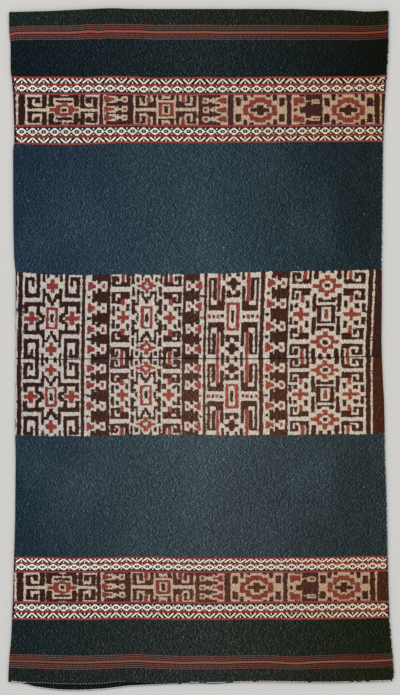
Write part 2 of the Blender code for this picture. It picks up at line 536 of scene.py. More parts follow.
@dataclass(frozen=True)
class MiddlePlan:
    """How the broad band's figures sit on one panel, in steps from the band's middle line.

    Attributes:
        columns: Heights of the standing figures in each of the three columns.
        blocks: For each of the four blocks, how far it is raised and its stretch up and down.
        tallness: Stretch of the standing figures.
    """

    columns: Sequence[Sequence[float]]
    blocks: Sequence[tuple[float, float, float]]
    tallness: float

    def figures(self) -> list[Any]:
        """Figures of the broad middle band.

        Returns:
            The figures from left to right, in the order they are laid.
        """
        star, hooks, spirals, tower = self.blocks
        first, second, third = self.columns
        ease = ((0.0, 0.0), (30.0, 30.0), (32.8, 34.0), (35.2, 37.8), (37.0, 39.0), (38.0, 41.0))
        return [
            PlainColumn(CREAM, -185.7, -183.3),
            Block(SPIRAL_STAR, -149.4, 30, 30, 30, *star),
            FigureColumn(TALL_FIGURE, -116.4, 1, 7, 25, first, 25, (BROWN,) * 3, self.tallness),
            Block(DOUBLE_HOOK_STAR, -54.6, 37, 36.2, 36.6, *hooks),
            FigureColumn(TALL_FIGURE, 2.6, -1, 5.6, 21, second, 25, (BROWN, RED, BROWN), self.tallness),
            Block(TALL_SPIRALS, 31.4, 26.4, 27.4, 27, *spirals),
            FigureColumn(TALL_FIGURE, 62.4, 1, 7, 25.4, third, 25, (BROWN,) * 3, self.tallness),
            Block(LOZENGE_TOWER, 124.8, 38, 41, 38, *tower, ease),
            PlainColumn(BROWN, 165.8, 169.9),
            PlainColumn(CREAM, 169.9, 172.7),
            PlainColumn(BROWN, 172.7, 199),
        ]


UPPER_MIDDLE = MiddlePlan(
    ((-32.3, -12.3, 9.0, 30.9), (-32.1, -12.2, 10.5, 31.1), (-30.3, -9.2, 13.4, 34.2)),
    ((-1.6, 1.03, 0.99), (-0.8, 1.02, 0.953), (0.5, 1.03, 1.015), (2.8, 1.026, 1.0)), 1.0)
LOWER_MIDDLE = MiddlePlan(
    ((-30.3, -9.6, 11.2, 27.9), (-29.6, -9.7, 11.6, 28.1), (-28.3, -9.0, 11.5, 28.7)),
    ((0.0, 0.845, 0.96), (1.7, 0.855, 0.94), (0.5, 0.86, 0.92), (2.3, 0.873, 0.907)), 0.92)


def narrow_figures() -> list[Any]:
    """Figures of a narrow band.

    Returns:
        The figures from left to right, in the order they are laid.
    """
    return [
        PlainColumn(CREAM, -185.5, -182.9),
        PlainColumn(CREAM, -176.5, -173.7),
        Block(HOOKS_AND_LOZENGE, -136.9, 39, 35, 39),
        FigureColumn(SMALL_FIGURE, -98.6, 1, 3.6, 29, (-7.5, 0.9, 10.6), 29),
        Block(HOOKS_AND_FRAME, -35.2, 33, 32.6, 33, 0.5),
        FigureColumn(SMALL_FIGURE, 26.8, -1, 7.6, 29.6, (-9.4, 0, 9.4), 29),
        Block(STEPPED_CROSS, 58.8, 26.6, 26.8, 26.6),
        Block(CREEPING_FIGURE, 89.8, 0, 33, 33),
        Block(STEPPED_CROSS, 146.85, 26, 26.6, 26.6),
        PlainColumn(CREAM, 178.0, 180.8),
        PlainColumn(BROWN, 180.8, 199),
    ]


@dataclass(frozen=True)
class WovenLine:
    """A line of the plan as it lies on a panel.

    Attributes:
        lane: Its distance from the seam in the plan.
        height: Its height up the cloth at the middle, in mm.
        wander: How far it strays from that height at places across the cloth, in mm.
    """

    lane: float
    height: float
    wander: Wander = ((0.0, 0.0),)

    def at(self, across: Array, front: Array) -> Array:
        """Height of the line at places across the cloth, calmer on the back layer."""
        stray = np.interp(across, *zip(*self.wander))
        return self.height + stray * (0.35 + 0.65 * front)


UPPER_LINES = (
    WovenLine(IKAT_EDGE, 128.6, ((-315, 4.2), (-285, 0.8), (-255, -1.2), (-215, -1.8), (-140, -0.8),
        (-60, -0.8), (5, 0.2), (60, 1.8), (110, 3.6), (150, 5.2), (215, 5.0), (265, 6.6), (305, 7.4))),
    WovenLine(368.2, 353.0, ((-315, -1.8), (-285, -2.6), (-250, -3.3), (-200, -3.0), (-165, -1.6),
        (-140, 0.2), (-80, 0.0), (0, 0.0), (90, 0.4), (150, 1.2), (210, 1.9), (290, 2.0), (315, 2.6))),
    WovenLine(379.1, 362.5, ((-315, -1.0), (-240, -1.6), (-180, -1.2), (-140, 0.4), (-60, 0.2), (0, 0.0),
        (120, 0.8), (210, 1.7), (315, 2.2))),
    WovenLine(395.4, 380.2, ((-315, 0.6), (-240, 0.2), (-140, 1.2), (0, 0.0), (90, 0.2), (210, 0.8),
        (315, 1.6))),
    WovenLine(449.8, 434.5, ((-315, 2.2), (-250, 0.2), (-160, 1.6), (-100, 0.2), (0, 0.0), (120, 0.6),
        (210, 1.4), (315, 2.8))),
    WovenLine(466.1, 449.9, ((-315, 1.6), (-240, 1.2), (-150, 2.0), (-90, 0.0), (0, 0.0), (120, 1.2),
        (220, 1.6), (315, 2.8))),
    WovenLine(477.0, 461.8, ((-315, 1.6), (-285, 0.4), (-255, 1.2), (-200, 0.0), (-165, 1.9), (-140, 2.1),
        (-112, 0.4), (-84, -0.6), (0, -0.2), (90, -0.3), (130, 0.9), (205, 0.6), (260, 1.1), (295, 1.7),
        (318, 4.0))),
    WovenLine(STRIPES_MIDDLE, 539.2, ((-326, -4.6), (-319, -1.6), (-310, -0.3), (-265, -0.2),
        (-223, -1.0), (-206, 0.6), (-189, 2.3), (-175, 0.5), (-156, 2.2), (-110, 1.6), (-84, 0.7),
        (-30, 0.3), (0, 0.5), (35, -0.2), (205, -0.6), (260, -0.8), (295, 0.2), (312, 1.6), (319, 4.2))),
)
LOWER_LINES = (
    WovenLine(IKAT_EDGE, -145.1, ((-315, 0.6), (-280, -1.0), (-228, -2.4), (-140, 0.4), (0, 0.6),
        (60, -0.4), (150, 0.4), (260, 1.6), (300, 2.8))),
    WovenLine(368.2, -355.4, ((-315, 1.2), (-285, 1.6), (-230, 0.5), (-200, -0.2), (-140, 1.4),
        (-110, 2.6), (-60, 1.2), (-25, -0.3), (0, 0.0), (90, 0.2), (180, 0.6), (250, 2.0), (295, 3.0))),
    WovenLine(379.1, -363.5, ((-315, 0.8), (-200, 0.0), (-110, 2.2), (0, 0.0), (120, 0.6), (230, 1.8),
        (300, 3.0))),
    WovenLine(395.4, -378.0, ((-315, 1.4), (-240, 0.6), (-110, 1.4), (0, 0.0), (180, 0.8), (300, 2.6))),
    WovenLine(449.8, -430.9, ((-315, 1.2), (-240, 0.4), (-110, 1.0), (0, 0.0), (180, 1.4), (300, 2.4))),
    WovenLine(466.1, -446.7, ((-315, 0.8), (-240, 0.2), (-110, 1.2), (0, 0.0), (180, 1.2), (300, 2.2))),
    WovenLine(477.0, -458.1, ((-315, 1.0), (-285, 0.3), (-200, 0.0), (-140, 1.4), (-110, 1.7), (-60, 0.4),
        (0, 0.0), (60, 0.6), (120, 0.9), (180, 0.4), (235, 1.6), (300, 3.2))),
    WovenLine(STRIPES_MIDDLE, -532.0, ((-326, 3.0), (-318, 2.8), (-278, 2.1), (-223, -0.2), (-168, 1.0),
        (-113, 2.8), (-80, 1.7), (-30, -1.0), (0, -0.2), (30, -0.4), (90, 0.9), (108, 1.0), (145, -1.0),
        (163, -1.6), (205, 1.0), (246, 2.2), (288, 2.2), (315, 3.5), (325, 5.0))),
)
MIDDLE_LEAN: Wander = ((-320, 0.02), (-100, 0.015), (30, 0.02), (130, 0.04), (320, 0.045))
NO_LEAN: Wander = ((-320, 0.0), (320, 0.0))


class CadPanel:
    """Feels where a panel's solid lies, with rays."""

    SIDE_LEVEL = 1.7           # height of the side folds' outermost line, in mm
    BACK_LEVEL = 0.6           # middle of the back layer
    FRONT_LEVELS = (2.5, 2.8, 3.1, 3.5, 3.9, 4.3)
    FAR = 1.0                  # where rays start, in metres
    SIDE_DRIFT = 20.0          # most that a fold strays in mm; a ray past a sloping edge goes further
    EDGE_DRIFT = 30.0          # most that the upper or lower edge strays
    INNER_TOP = 2.2            # faces below this level are the back layer's
    FACE_LEVEL = 3.4           # level taken where no ray met the front

    def __init__(self, node: str) -> None:
        """Read the solid's faces.

        Args:
            node: Name of the solid's node.
        """
        self.tree = BVHTree.FromObject(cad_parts[node], bpy.context.evaluated_depsgraph_get())
        low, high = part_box(node)
        self.low, self.high = low / MM, high / MM
        self.heights = np.linspace(self.low.y + 1, self.high.y - 1, 70)
        self.lefts = self.feel_sides(1)
        self.rights = self.feel_sides(-1)
        self.places = np.linspace(self.low.x, self.high.x, 81)
        self.edges = {(layer, way): self.feel_edge(layer, way) for layer in (0, 1) for way in (-1, 1)}
        self.rise = self.feel_front()

    def hit(self, start: Vector, way: Vector) -> Optional[Vector]:
        """First point that a ray meets, in mm, or None."""
        point = self.tree.ray_cast(start, way)[0]
        return None if point is None else point / MM

    def feel_sides(self, way: int) -> Array:
        """Feel one fold.

        Args:
            way: 1 for the left fold, -1 for the right one.

        Returns:
            Its place at each height.
        """
        found = []
        for height in self.heights:
            start = Vector((-way * self.FAR, height * MM, self.SIDE_LEVEL * MM))
            point = self.hit(start, Vector((way, 0, 0)))
            found.append(np.nan if point is None else point.x)
        sides = np.array(found)
        sides[np.abs(sides - np.nanmedian(sides)) > self.SIDE_DRIFT] = np.nan
        return self.fill_gaps(sides)

    def feel_edge(self, layer: int, way: int) -> Array:
        """Feel one edge of one layer.

        Args:
            layer: 1 for the front layer, 0 for the back one.
            way: 1 for the lower edge, -1 for the upper one.

        Returns:
            Its height at each place across.
        """
        outermost = self.low.y if way > 0 else self.high.y
        levels = self.FRONT_LEVELS if layer else (self.BACK_LEVEL,)
        found = []
        for across in self.places:
            heights = []
            for level in levels:
                point = self.hit(Vector((across * MM, -way * self.FAR, level * MM)), Vector((0, way, 0)))
                if point is not None and abs(point.y - outermost) < self.EDGE_DRIFT:
                    heights.append(point.y)
            found.append((min(heights) if way > 0 else max(heights)) if heights else np.nan)
        return self.fill_gaps(np.array(found))

    def feel_front(self) -> Array:
        """Feel the front face, smoothed once.

        Returns:
            Its level on a grid of heights and places.
        """
        top = np.full((len(self.heights), len(self.places)), np.nan)
        for row, height in enumerate(self.heights):
            for column, across in enumerate(self.places):
                point = self.hit(Vector((across * MM, height * MM, self.FAR)), Vector((0, 0, -1)))
                if point is not None and point.z > self.INNER_TOP:
                    top[row, column] = point.z
        for row in range(len(self.heights)):
            top[row] = self.fill_gaps(top[row])
        padded = np.pad(top, 1, mode="edge")
        return (padded[1:-1, 1:-1] * 2 + padded[:-2, 1:-1] + padded[2:, 1:-1]
                + padded[1:-1, :-2] + padded[1:-1, 2:]) / 6

    def fill_gaps(self, values: Array) -> Array:
        """Carry the nearest readings over places where the ray met nothing.

        Args:
            values: Readings, with no number where nothing was met.

        Returns:
            Readings without gaps.
        """
        known = ~np.isnan(values)
        if not known.any():
            return np.full(values.shape, self.FACE_LEVEL)
        return np.interp(np.arange(len(values)), np.flatnonzero(known), values[known])

    def edge(self, way: int, across: Array, front: Array) -> Array:
        """Height of the lower (way 1) or upper (way -1) edge, between the layers by front."""
        back, fore = (np.interp(across, self.places, self.edges[(layer, way)]) for layer in (0, 1))
        return back * (1 - front) + fore * front

    def front_height(self, across: Array, height: Array) -> Array:
        """Height of the front face at places on the cloth, read between the grid's points."""
        row, column = (np.interp(place, marks, np.arange(len(marks)))
                       for place, marks in ((height, self.heights), (across, self.places)))
        return read_grid(self.rise, row, column)


@dataclass
class PanelCloth:
    """One panel: a closed tube of sheet, pressed flat, with its plan and its tied bands.

    Attributes:
        name: Name of the piece.
        node: The solid that it stands for.
        lines: Woven lines of the plan between the seam and the outer edge.
        outwards: 1 where the panel runs up from the seam, -1 where it runs down.
        bands: The panel's tied bands, the broad one first.
    """

    name: str
    node: str
    lines: Sequence[WovenLine]
    outwards: int
    bands: Sequence[TiedBand]
    thickness: float = 1.2
    radius: float = 1.7
    front_columns: int = 356
    back_columns: int = 186
    fold_cells: int = 8
    crease_across: float = 1.1
    crease_depth: float = 0.3
    crease_width: float = 2.6
    calm_side: float = 25.0         # width beside each fold over which the relief dies away
    tied_row: float = 1.78          # height of a mesh row where the cloth is tied
    ragged: tuple[float, float] = (6.0, 7.0)     # how far past a tied band's edge its dyes are read
    untied_depth: float = -3.0      # depth that stands for no tied colour
    lining_rows: int = 18           # outer rows to one inner row
    rows_by_edge: Sequence[int] = (0, 1, 3, 6)   # inner rows beside each edge
    gap: float = 0.002              # margin of the bake map and between its parts
    inside_top: float = 0.052       # share of the bake map up to which the inner face lies
    back_shares: tuple[float, float] = (0.06, 0.325)
    front_shares: tuple[float, float] = (0.335, 0.998)

    def __post_init__(self) -> None:
        """Feel the solid and lay out the stations round the tube."""
        self.solid = CadPanel(self.node)
        back = [(k / self.back_columns, None, 0.0) for k in range(self.back_columns + 1)]
        turns = [k / self.fold_cells for k in range(1, self.fold_cells)]
        right = [(1.0, math.pi * (turn - 0.5), turn) for turn in turns]
        fore = [(k / self.front_columns, None, 1.0) for k in range(self.front_columns, -1, -1)]
        left = [(0.0, math.pi * (turn + 0.5), 1.0 - turn) for turn in turns]
        stations = back + right + fore + left
        self.fraction = np.array([station[0] for station in stations])
        self.front = np.array([station[2] for station in stations])
        self.on_fold = np.array([station[1] is not None for station in stations])
        self.angle = np.array([station[1] or 0.0 for station in stations])

    def lanes(self) -> Array:
        """Lay out the mesh's rows, close together in the tied bands.

        Returns:
            Lanes of the rows from the seam outwards.
        """
        below, above = BAND_MIDDLE - NARROW_HALF, BAND_MIDDLE + NARROW_HALF
        zones = ((0, IKAT_EDGE, self.tied_row), (IKAT_EDGE, FIELD_EDGE, 12.4), (FIELD_EDGE, below, 3.9),
                 (below, above, self.tied_row), (above, BAND_EDGE, 3.9), (BAND_EDGE, EDGE_LANE, 11.0))
        rows = [np.linspace(start, end, max(2, int(round((end - start) / size)) + 1))[:-1]
                for start, end, size in zones]
        return np.concatenate(rows + [np.array([EDGE_LANE])])

    def heights(self, lanes: Array, across: Array, front: Array) -> Array:
        """Heights in mm of lanes (rows) at stations (columns) of the tube.

        Args:
            lanes: Lane of each row.
            across: Place across the cloth of each station.
            front: Share of the front layer of each station.

        Returns:
            An array of rows by stations.
        """
        seam = self.solid.edge(self.outwards, across, front)
        outer = self.solid.edge(-self.outwards, across, front)
        known = [0.0] + [line.lane for line in self.lines] + [EDGE_LANE]
        placed = np.array([seam] + [line.at(across, front) for line in self.lines] + [outer])
        # The lines sway by up to 0.65 mm along the warp, each in its own measure.
        sway = 0.35 * np.sin(across / 9.3 + 0.7) + 0.3 * np.sin(across / 17.9 + 2.1)
        placed[1:-1] += sway * np.sin(np.arange(1, len(self.lines) + 1) * 1.9)[:, None]
        return np.array([np.interp(lanes, known, placed[:, at]) for at in range(len(across))]).T

    def side(self, height: Array, right: bool) -> Array:
        """Place of the right or the left fold at heights in mm."""
        return np.interp(height, self.solid.heights, self.solid.rights if right else self.solid.lefts)

    def relief(self, across: Array, height: Array) -> Array:
        """Small unevenness of the front face: pressed crease and soft ripples.

        Args:
            across: Places across the cloth.
            height: Their heights on the cloth.

        Returns:
            The rise of each place in mm.
        """
        crease = -self.crease_depth * np.exp(-((across - self.crease_across) / self.crease_width) ** 2)
        ripple = 0.12 * np.sin(across / 23.0 + height / 61.0) * np.sin(height / 37.0 - across / 90.0)
        fade = np.clip(np.minimum(across - self.side(height, False),
                                  self.side(height, True) - across) / self.calm_side, 0, 1)
        return (crease + ripple) * fade

    def surface(self, lanes: Array, inwards: float = 0.0) -> tuple[Array, ...]:
        """Places in mm of the tube's rows and stations.

        Args:
            lanes: Lane of each row.
            inwards: Distance in from the outer face.

        Returns:
            Arrays across, height and level, each rows by stations.
        """
        guess = self.side(np.full(self.fraction.shape, self.solid.heights.mean()), False)
        width = self.solid.rights.mean() - self.solid.lefts.mean()
        height = self.heights(lanes, guess + self.fraction * width, self.front)
        for _ in range(2):
            left, right = self.side(height, False), self.side(height, True)
            first, last = left + self.radius, right - self.radius
            across = first + self.fraction * (last - first)
            height = np.array([self.heights(lanes[row:row + 1], across[row], self.front)[0]
                               for row in range(len(lanes))])
        turn = self.radius - inwards
        face = self.solid.front_height(across, height) + self.relief(across, height)
        edge_hold = np.clip(np.minimum(across - first, last - across) / 3.0, 0, 1)
        face = 2 * self.radius + (face - 2 * self.radius) * edge_hold
        level = np.where(self.front > 0.5, face - inwards, inwards)
        across = np.where(self.on_fold, across + turn * np.cos(self.angle), across)
        level = np.where(self.on_fold, self.radius + turn * np.sin(self.angle), level)
        return across, height, level

    def point(self, across: float, lane: float, front: bool) -> tuple[Vector, float]:
        """Point on the outer face in mm, and the slope there of the woven lines.

        Args:
            across: Place across the cloth.
            lane: Lane of the plan.
            front: True for the front layer.

        Returns:
            The point, and the rise of the lane for each mm across.
        """
        places = np.array([across - 2.0, across, across + 2.0])
        share = np.full(3, 1.0 if front else 0.0)
        low, height, high = self.heights(np.array([lane]), places, share)[0]
        level = 0.0
        if front:
            level = float(self.solid.front_height(places[1:2], np.array([height]))[0]
                          + self.relief(places[1:2], np.array([height]))[0])
        return Vector((across, height, level)), (high - low) / 4.0

    def build(self) -> Piece:
        """Make the panel's mesh with its plan, its dyes and its bake map.

        Returns:
            The piece.
        """
        lanes = self.lanes()
        order = lanes if self.outwards > 0 else lanes[::-1]
        across, height, level = self.surface(order)
        rows, count = across.shape
        inner_rows = sorted(set(range(0, rows, self.lining_rows)) | set(self.rows_by_edge)
                            | {rows - 1 - row for row in self.rows_by_edge})
        inner = self.surface(order[inner_rows], self.thickness)
        outer_points = np.stack((across, height, level), axis=-1).reshape(-1, 3)
        inner_points = np.stack(inner, axis=-1).reshape(-1, 3)
        points = np.concatenate((outer_points, inner_points)) * MM
        faces = self.faces(rows, count, len(inner_rows))
        mesh = bpy.data.meshes.new(self.name)
        mesh.from_pydata(points.tolist(), [], faces.tolist())
        plan = np.stack((np.concatenate((across.ravel(), inner[0].ravel())),
                         np.concatenate((np.repeat(order, count), np.repeat(order[inner_rows], count))),
                         np.concatenate(((self.side(height, True) - across).ravel(),
                                         (self.side(inner[1], True) - inner[0]).ravel()))), axis=-1)
        self.write(mesh, "weave", plan)
        dyes = self.dyes(points / MM, plan[:, 1])
        # The third value is the front layer's share, which the material uses to paint shade on the back
        # layer's hem.
        dyes[:, 2] = np.tile(self.front, rows + len(inner_rows))
        self.write(mesh, "dye", dyes)
        self.lay_bake_map(mesh, rows, count, inner_rows)
        mesh.shade_smooth()
        mesh.set_sharp_from_angle(angle=math.radians(50))
        return link_piece(self.name, mesh)

    @staticmethod
    def write(mesh: bpy.types.Mesh, name: str, values: Array) -> None:
        """Store a vector for each point of the mesh."""
        layer = mesh.attributes.new(name, "FLOAT_VECTOR", "POINT")
        layer.data.foreach_set("vector", np.ascontiguousarray(values, dtype=np.float32).ravel())

    @staticmethod
    def faces(rows: int, count: int, inner_rows: int) -> Array:
        """Number the quads of the outer face, the inner face and the two edges.

        Args:
            rows: Rows of the outer face.
            count: Stations round the tube.
            inner_rows: Rows of the inner face.

        Returns:
            Four point numbers to a quad.
        """
        here = np.arange(count)
        there = (here + 1) % count
        start = rows * count
        quads = []
        for row in range(rows - 1):
            low, high = row * count, (row + 1) * count
            quads.append(np.stack((low + here, high + here, high + there, low + there), axis=-1))
        for row in range(inner_rows - 1):
            low, high = start + row * count, start + (row + 1) * count
            quads.append(np.stack((low + here, low + there, high + there, high + here), axis=-1))
        last, inner_last = (rows - 1) * count, start + (inner_rows - 1) * count
        quads.append(np.stack((here, there, start + there, start + here), axis=-1))
        quads.append(np.stack((last + here, inner_last + here, inner_last + there, last + there), axis=-1))
        return np.concatenate(quads)

    def dyes(self, points: Array, lanes: Array) -> Array:
        """Read the tied bands.

        Args:
            points: The mesh's points in mm.
            lanes: Lane of each point.

        Returns:
            Depth in mm into cream and into red for each point, and a third value still to be set.
        """
        values = np.full((len(points), 3), self.untied_depth)
        in_middle = lanes < IKAT_EDGE + self.ragged[0]
        in_narrow = np.abs(lanes - BAND_MIDDLE) < NARROW_HALF + self.ragged[1]
        for band, inside in zip(self.bands, (in_middle, in_narrow)):
            band.chart()
            values[inside, 0], values[inside, 1] = band.read(points[inside, 0], points[inside, 1])
        return values

    def lay_bake_map(self, mesh: bpy.types.Mesh, rows: int, count: int, inner_rows: Sequence[int]) -> None:
        """Lay a map that gives the front layer two thirds of the sheet and the back the rest.

        Args:
            mesh: The panel's mesh.
            rows: Rows of the outer face.
            count: Stations round the tube.
            inner_rows: Outer rows that the inner face follows.
        """
        layer = mesh.uv_layers.new(name="OFBake")
        stations = np.arange(count)
        right_mid = self.back_columns + self.fold_cells // 2
        left_mid = count - self.fold_cells // 2
        back_cells = (stations < right_mid) | (stations >= left_mid)
        back_place = np.where(stations >= left_mid, stations - count, stations) + self.fold_cells // 2
        back_span = right_mid + self.fold_cells // 2
        fore_span = left_mid - right_mid
        start_u = np.where(back_cells, back_place / back_span, (left_mid - stations) / fore_span)
        end_u = np.where(back_cells, (back_place + 1) / back_span, (left_mid - stations - 1) / fore_span)
        low_v, high_v = (np.where(back_cells, back, fore)
                         for back, fore in zip(self.back_shares, self.front_shares))
        table = []
        for row in range(rows - 1):
            bottom = low_v + (high_v - low_v) * row / (rows - 1)
            top = low_v + (high_v - low_v) * (row + 1) / (rows - 1)
            table.append(np.stack((start_u, bottom, start_u, top, end_u, top, end_u, bottom), axis=-1))
        whole_start, whole_end = stations / count, (stations + 1) / count
        strips = len(inner_rows) + 1
        inside = self.inside_top - self.gap
        for strip in range(strips):
            bottom, top = (np.full(count, self.gap + inside * (strip + part) / strips) for part in (0, 0.8))
            table.append(np.stack((whole_start, bottom, whole_end, bottom, whole_end, top,
                                   whole_start, top), axis=-1))
        places = np.concatenate(table).reshape(-1, 2)
        places[:, 0] = self.gap + (1 - 2 * self.gap) * places[:, 0]
        layer.data.foreach_set("uv", places.astype(np.float32).ravel())


@dataclass(frozen=True)
class DyedCotton:
    """Warp-faced hand-spun cotton, dyed in indigo and in tied bands of morinda red and brown.

    It is matte and a little uneven: every thread took the dye differently, so colour changes in
    fine runs along the warp, and tied figures end in steps with feathered tips. Three colours are
    those at the left, the middle and the right of the cloth.
    """

    indigo: Three
    worn_indigo: str
    ends: Three
    hem: Three
    browns: Three
    reds: Three
    stripe_reds: Three
    creams: Three = ("#c3bcb4", "#d1c5b8", "#ccbca8")
    narrow_creams: tuple[str, str] = ("#ccb9a6", "#b59373")
    narrow_red: str = "#803a2f"
    line_red: str = "#943f3a"
    fine_lines: Three = ("#7c4c44", "#7a4a42", "#673429")
    # painted shade: near-black colour of the back layer's hem strip, standing in for the shadow under the
    # front hem
    back_hem_painted_shade: str = "#0c1214"
    float_ground: str = "#07090b"
    navy: str = "#1b2833"
    sewn_edge: str = "#0c1219"
    slub: str = "#7f95a3"
    rubbed: str = "#93a9b3"

    def material(self, name: str) -> bpy.types.Material:
        """Build the dyed cloth's material under the given name."""
        return ClothNodes(self, name).paint()


class ClothNodes:
    """Nodes that lay a dyed cotton's colours by the panel's weave and dye attributes.

    The weave attribute holds the place across, the lane and the distance from the right fold, in
    mm. The dye attribute holds the depth into cream and into red in mm, and the front layer's share.
    """

    DRAWN_THREAD = 1.7         # mm, twice the real thread pitch, so that the grain shows
    FINE_LINES = (-11.4, -8.1, -4.8, 5.0, 8.4, 11.8)   # places in the group of red stripes
    LINE_HALVES = (1.5, 1.1, 1.5)                      # half widths of the red lines
    NAVY_LANE = 30.0           # distance of the navy line from the band's middle
    PAINTED_HEM_SHADE_LANES = (578.0, 582.0)  # lanes over which the back layer is painted dark, as painted shade under the front hem

    def __init__(self, finish: DyedCotton, name: str) -> None:
        """Start the material and read the places on the cloth.

        Args:
            finish: Colours of the cloth.
            name: Name of the material.
        """
        self.finish = finish
        self.made, self.shader, self.add = new_material(name)
        add = self.add
        self.weave = add(Node.WEAVE)
        across, self.lane, self.from_fold = add(Node.SPLIT, self.weave).node.outputs
        self.cream_depth, self.red_depth, self.front = add(Node.SPLIT, add(Node.DYE)).node.outputs
        self.to_right = add(Node.RANGE, across, -HALF_CLOTH, HALF_CLOTH)
        self.from_middle = add(Node.ABSOLUTE, add(Node.SUBTRACT, self.lane, BAND_MIDDLE))
        self.grain = self.threads_and_slubs()

    def blots(self, across: float, along: float, detail: float = 0.0) -> Socket:
        """Soft noise about zero, with blots of the given mm across the cloth and along the lane."""
        stretched = self.add(Node.STRETCH, self.weave, (1 / across, 1 / along, 0.0))
        return self.add(Node.SUBTRACT, self.add(Node.SOFT_NOISE, stretched, 1.0, detail), 0.5)

    def threads(self, place: Any, across: float, along: float) -> Socket:
        """Noise about zero with one value for each cell of the given mm, as single threads have."""
        cell = self.add(Node.FLOOR, self.add(Node.DIVIDE, place, (across, along, 1000.0)))
        return self.add(Node.SUBTRACT, self.add(Node.CELL_NOISE, cell), 0.5)

    def line(self, place: Any, centre: float, half: float) -> Socket:
        """Output that is 1 within half a width of a centre and fades over 0.4 mm."""
        away = self.add(Node.ABSOLUTE, self.add(Node.SUBTRACT, place, centre))
        return self.add(Node.RANGE, away, half + 0.3, half - 0.1)

    def grained(self, colour: Any, strength: Any) -> Socket:
        """Colour made lighter and darker by the grain."""
        power = self.add(Node.EXPONENT, self.add(Node.MULTIPLY, self.grain, strength))
        return self.add(Node.SCALE, colour, power)

    def threads_and_slubs(self) -> Socket:
        """Light and dark of single threads and of slubs along and across them.

        Returns:
            The grain, about zero.
        """
        add, pitch = self.add, self.DRAWN_THREAD
        beside = add(Node.SHIFT, self.weave, (pitch, 0.0, 0.0))
        total = add(Node.SUBTRACT, self.threads(self.weave, pitch, pitch), self.threads(beside, pitch, pitch))
        total = add(Node.MULTIPLY, total, 1.6)
        for across, along in ((12.0, 1.8), (1.8, 9.0)):
            total = add(Node.ADD, total, add(Node.MULTIPLY, self.blots(across, along), 0.7))
        return total

    def tied(self) -> Socket:
        """Colour of the tied bands, whose edges step by single threads and feather along them.

        Returns:
            The colour.
        """
        add, finish = self.add, self.finish
        jitter: Any = 0.0
        for across, along, reach in ((24.0, 1.5, 1.15), (2.6, 6.0, 1.5)):
            part = add(Node.MULTIPLY, self.threads(self.weave, across, along), reach)
            jitter = add(Node.ADD, jitter, part)
        drawn_in = add(Node.SUBTRACT, jitter, add(Node.MULTIPLY, self.to_right, 0.25))
        pale = add(Node.RANGE, add(Node.ADD, self.cream_depth, drawn_in), 0.05, 0.75)
        red = add(Node.RANGE, add(Node.ADD, self.red_depth, jitter), -0.5, 0.2)
        browns, creams, reds = (add(Node.RAMP, self.to_right, stops=three)
                                for three in (finish.browns, finish.creams, finish.reds))
        narrow = add(Node.GREATER_THAN, self.lane, FIELD_MIDDLE)
        narrow_creams = add(Node.MIX, self.to_right, *map(linear, finish.narrow_creams))
        creams = add(Node.MIX, narrow, creams, narrow_creams)
        reds = add(Node.MIX, narrow, reds, linear(finish.narrow_red))
        calm = add(Node.SUBTRACT, 0.9, add(Node.MULTIPLY, red, 0.35))
        dark = self.grained(add(Node.MIX, red, browns, reds), calm)
        return add(Node.MIX, add(Node.SUBTRACT, pale, red), dark, self.grained(creams, 0.35))

    def field(self) -> Socket:
        """Indigo of the plain fields, paler near the seam and where it has worn, with a few slubs.

        Returns:
            The colour.
        """
        add, finish = self.add, self.finish
        indigo = add(Node.RAMP, self.to_right, stops=finish.indigo)
        worn = add(Node.MULTIPLY, add(Node.RANGE, self.blots(90.0, 140.0, 3.0), -0.05, 0.25), 0.25)
        colour = add(Node.MIX, worn, indigo, linear(finish.worn_indigo))
        colour = add(Node.SCALE, colour, add(Node.RANGE, self.lane, IKAT_EDGE, FIELD_EDGE, 1.14, 0.88))
        speck = add(Node.MULTIPLY, add(Node.RANGE, self.blots(4.5, 2.2), 0.30, 0.36), 0.5)
        return add(Node.MIX, speck, colour, linear(finish.slub))

    def ends(self) -> Socket:
        """Black-green end band, with its group of red stripes and the lighter edge beyond them.

        Returns:
            The colour.
        """
        add, finish = self.add, self.finish
        end, hem, fine, bright = (add(Node.RAMP, self.to_right, stops=three) for three in
                                  (finish.ends, finish.hem, finish.fine_lines, finish.stripe_reds))
        colour = add(Node.MIX, add(Node.GREATER_THAN, self.lane, STRIPES_MIDDLE), end, hem)
        for centre in self.FINE_LINES:
            colour = add(Node.MIX, self.line(self.lane, STRIPES_MIDDLE + centre, 0.6), colour, fine)
        return add(Node.MIX, self.line(self.lane, STRIPES_MIDDLE, 1.75), colour, bright)

    def under_floats(self) -> Socket:
        """Navy line, red lines and near black of the patterned band, under its floats.

        Returns:
            The colour.
        """
        finish = self.finish
        colour: Any = linear(finish.float_ground)
        lines = [(self.NAVY_LANE, 1.6, finish.navy)]
        lines += [(centre, half, finish.line_red) for centre, half in zip(RED_LINES, self.LINE_HALVES)]
        for centre, half, dye in lines:
            inside = self.line(self.from_middle, centre, half)
            colour = self.add(Node.MIX, inside, colour, linear(dye))
        return colour

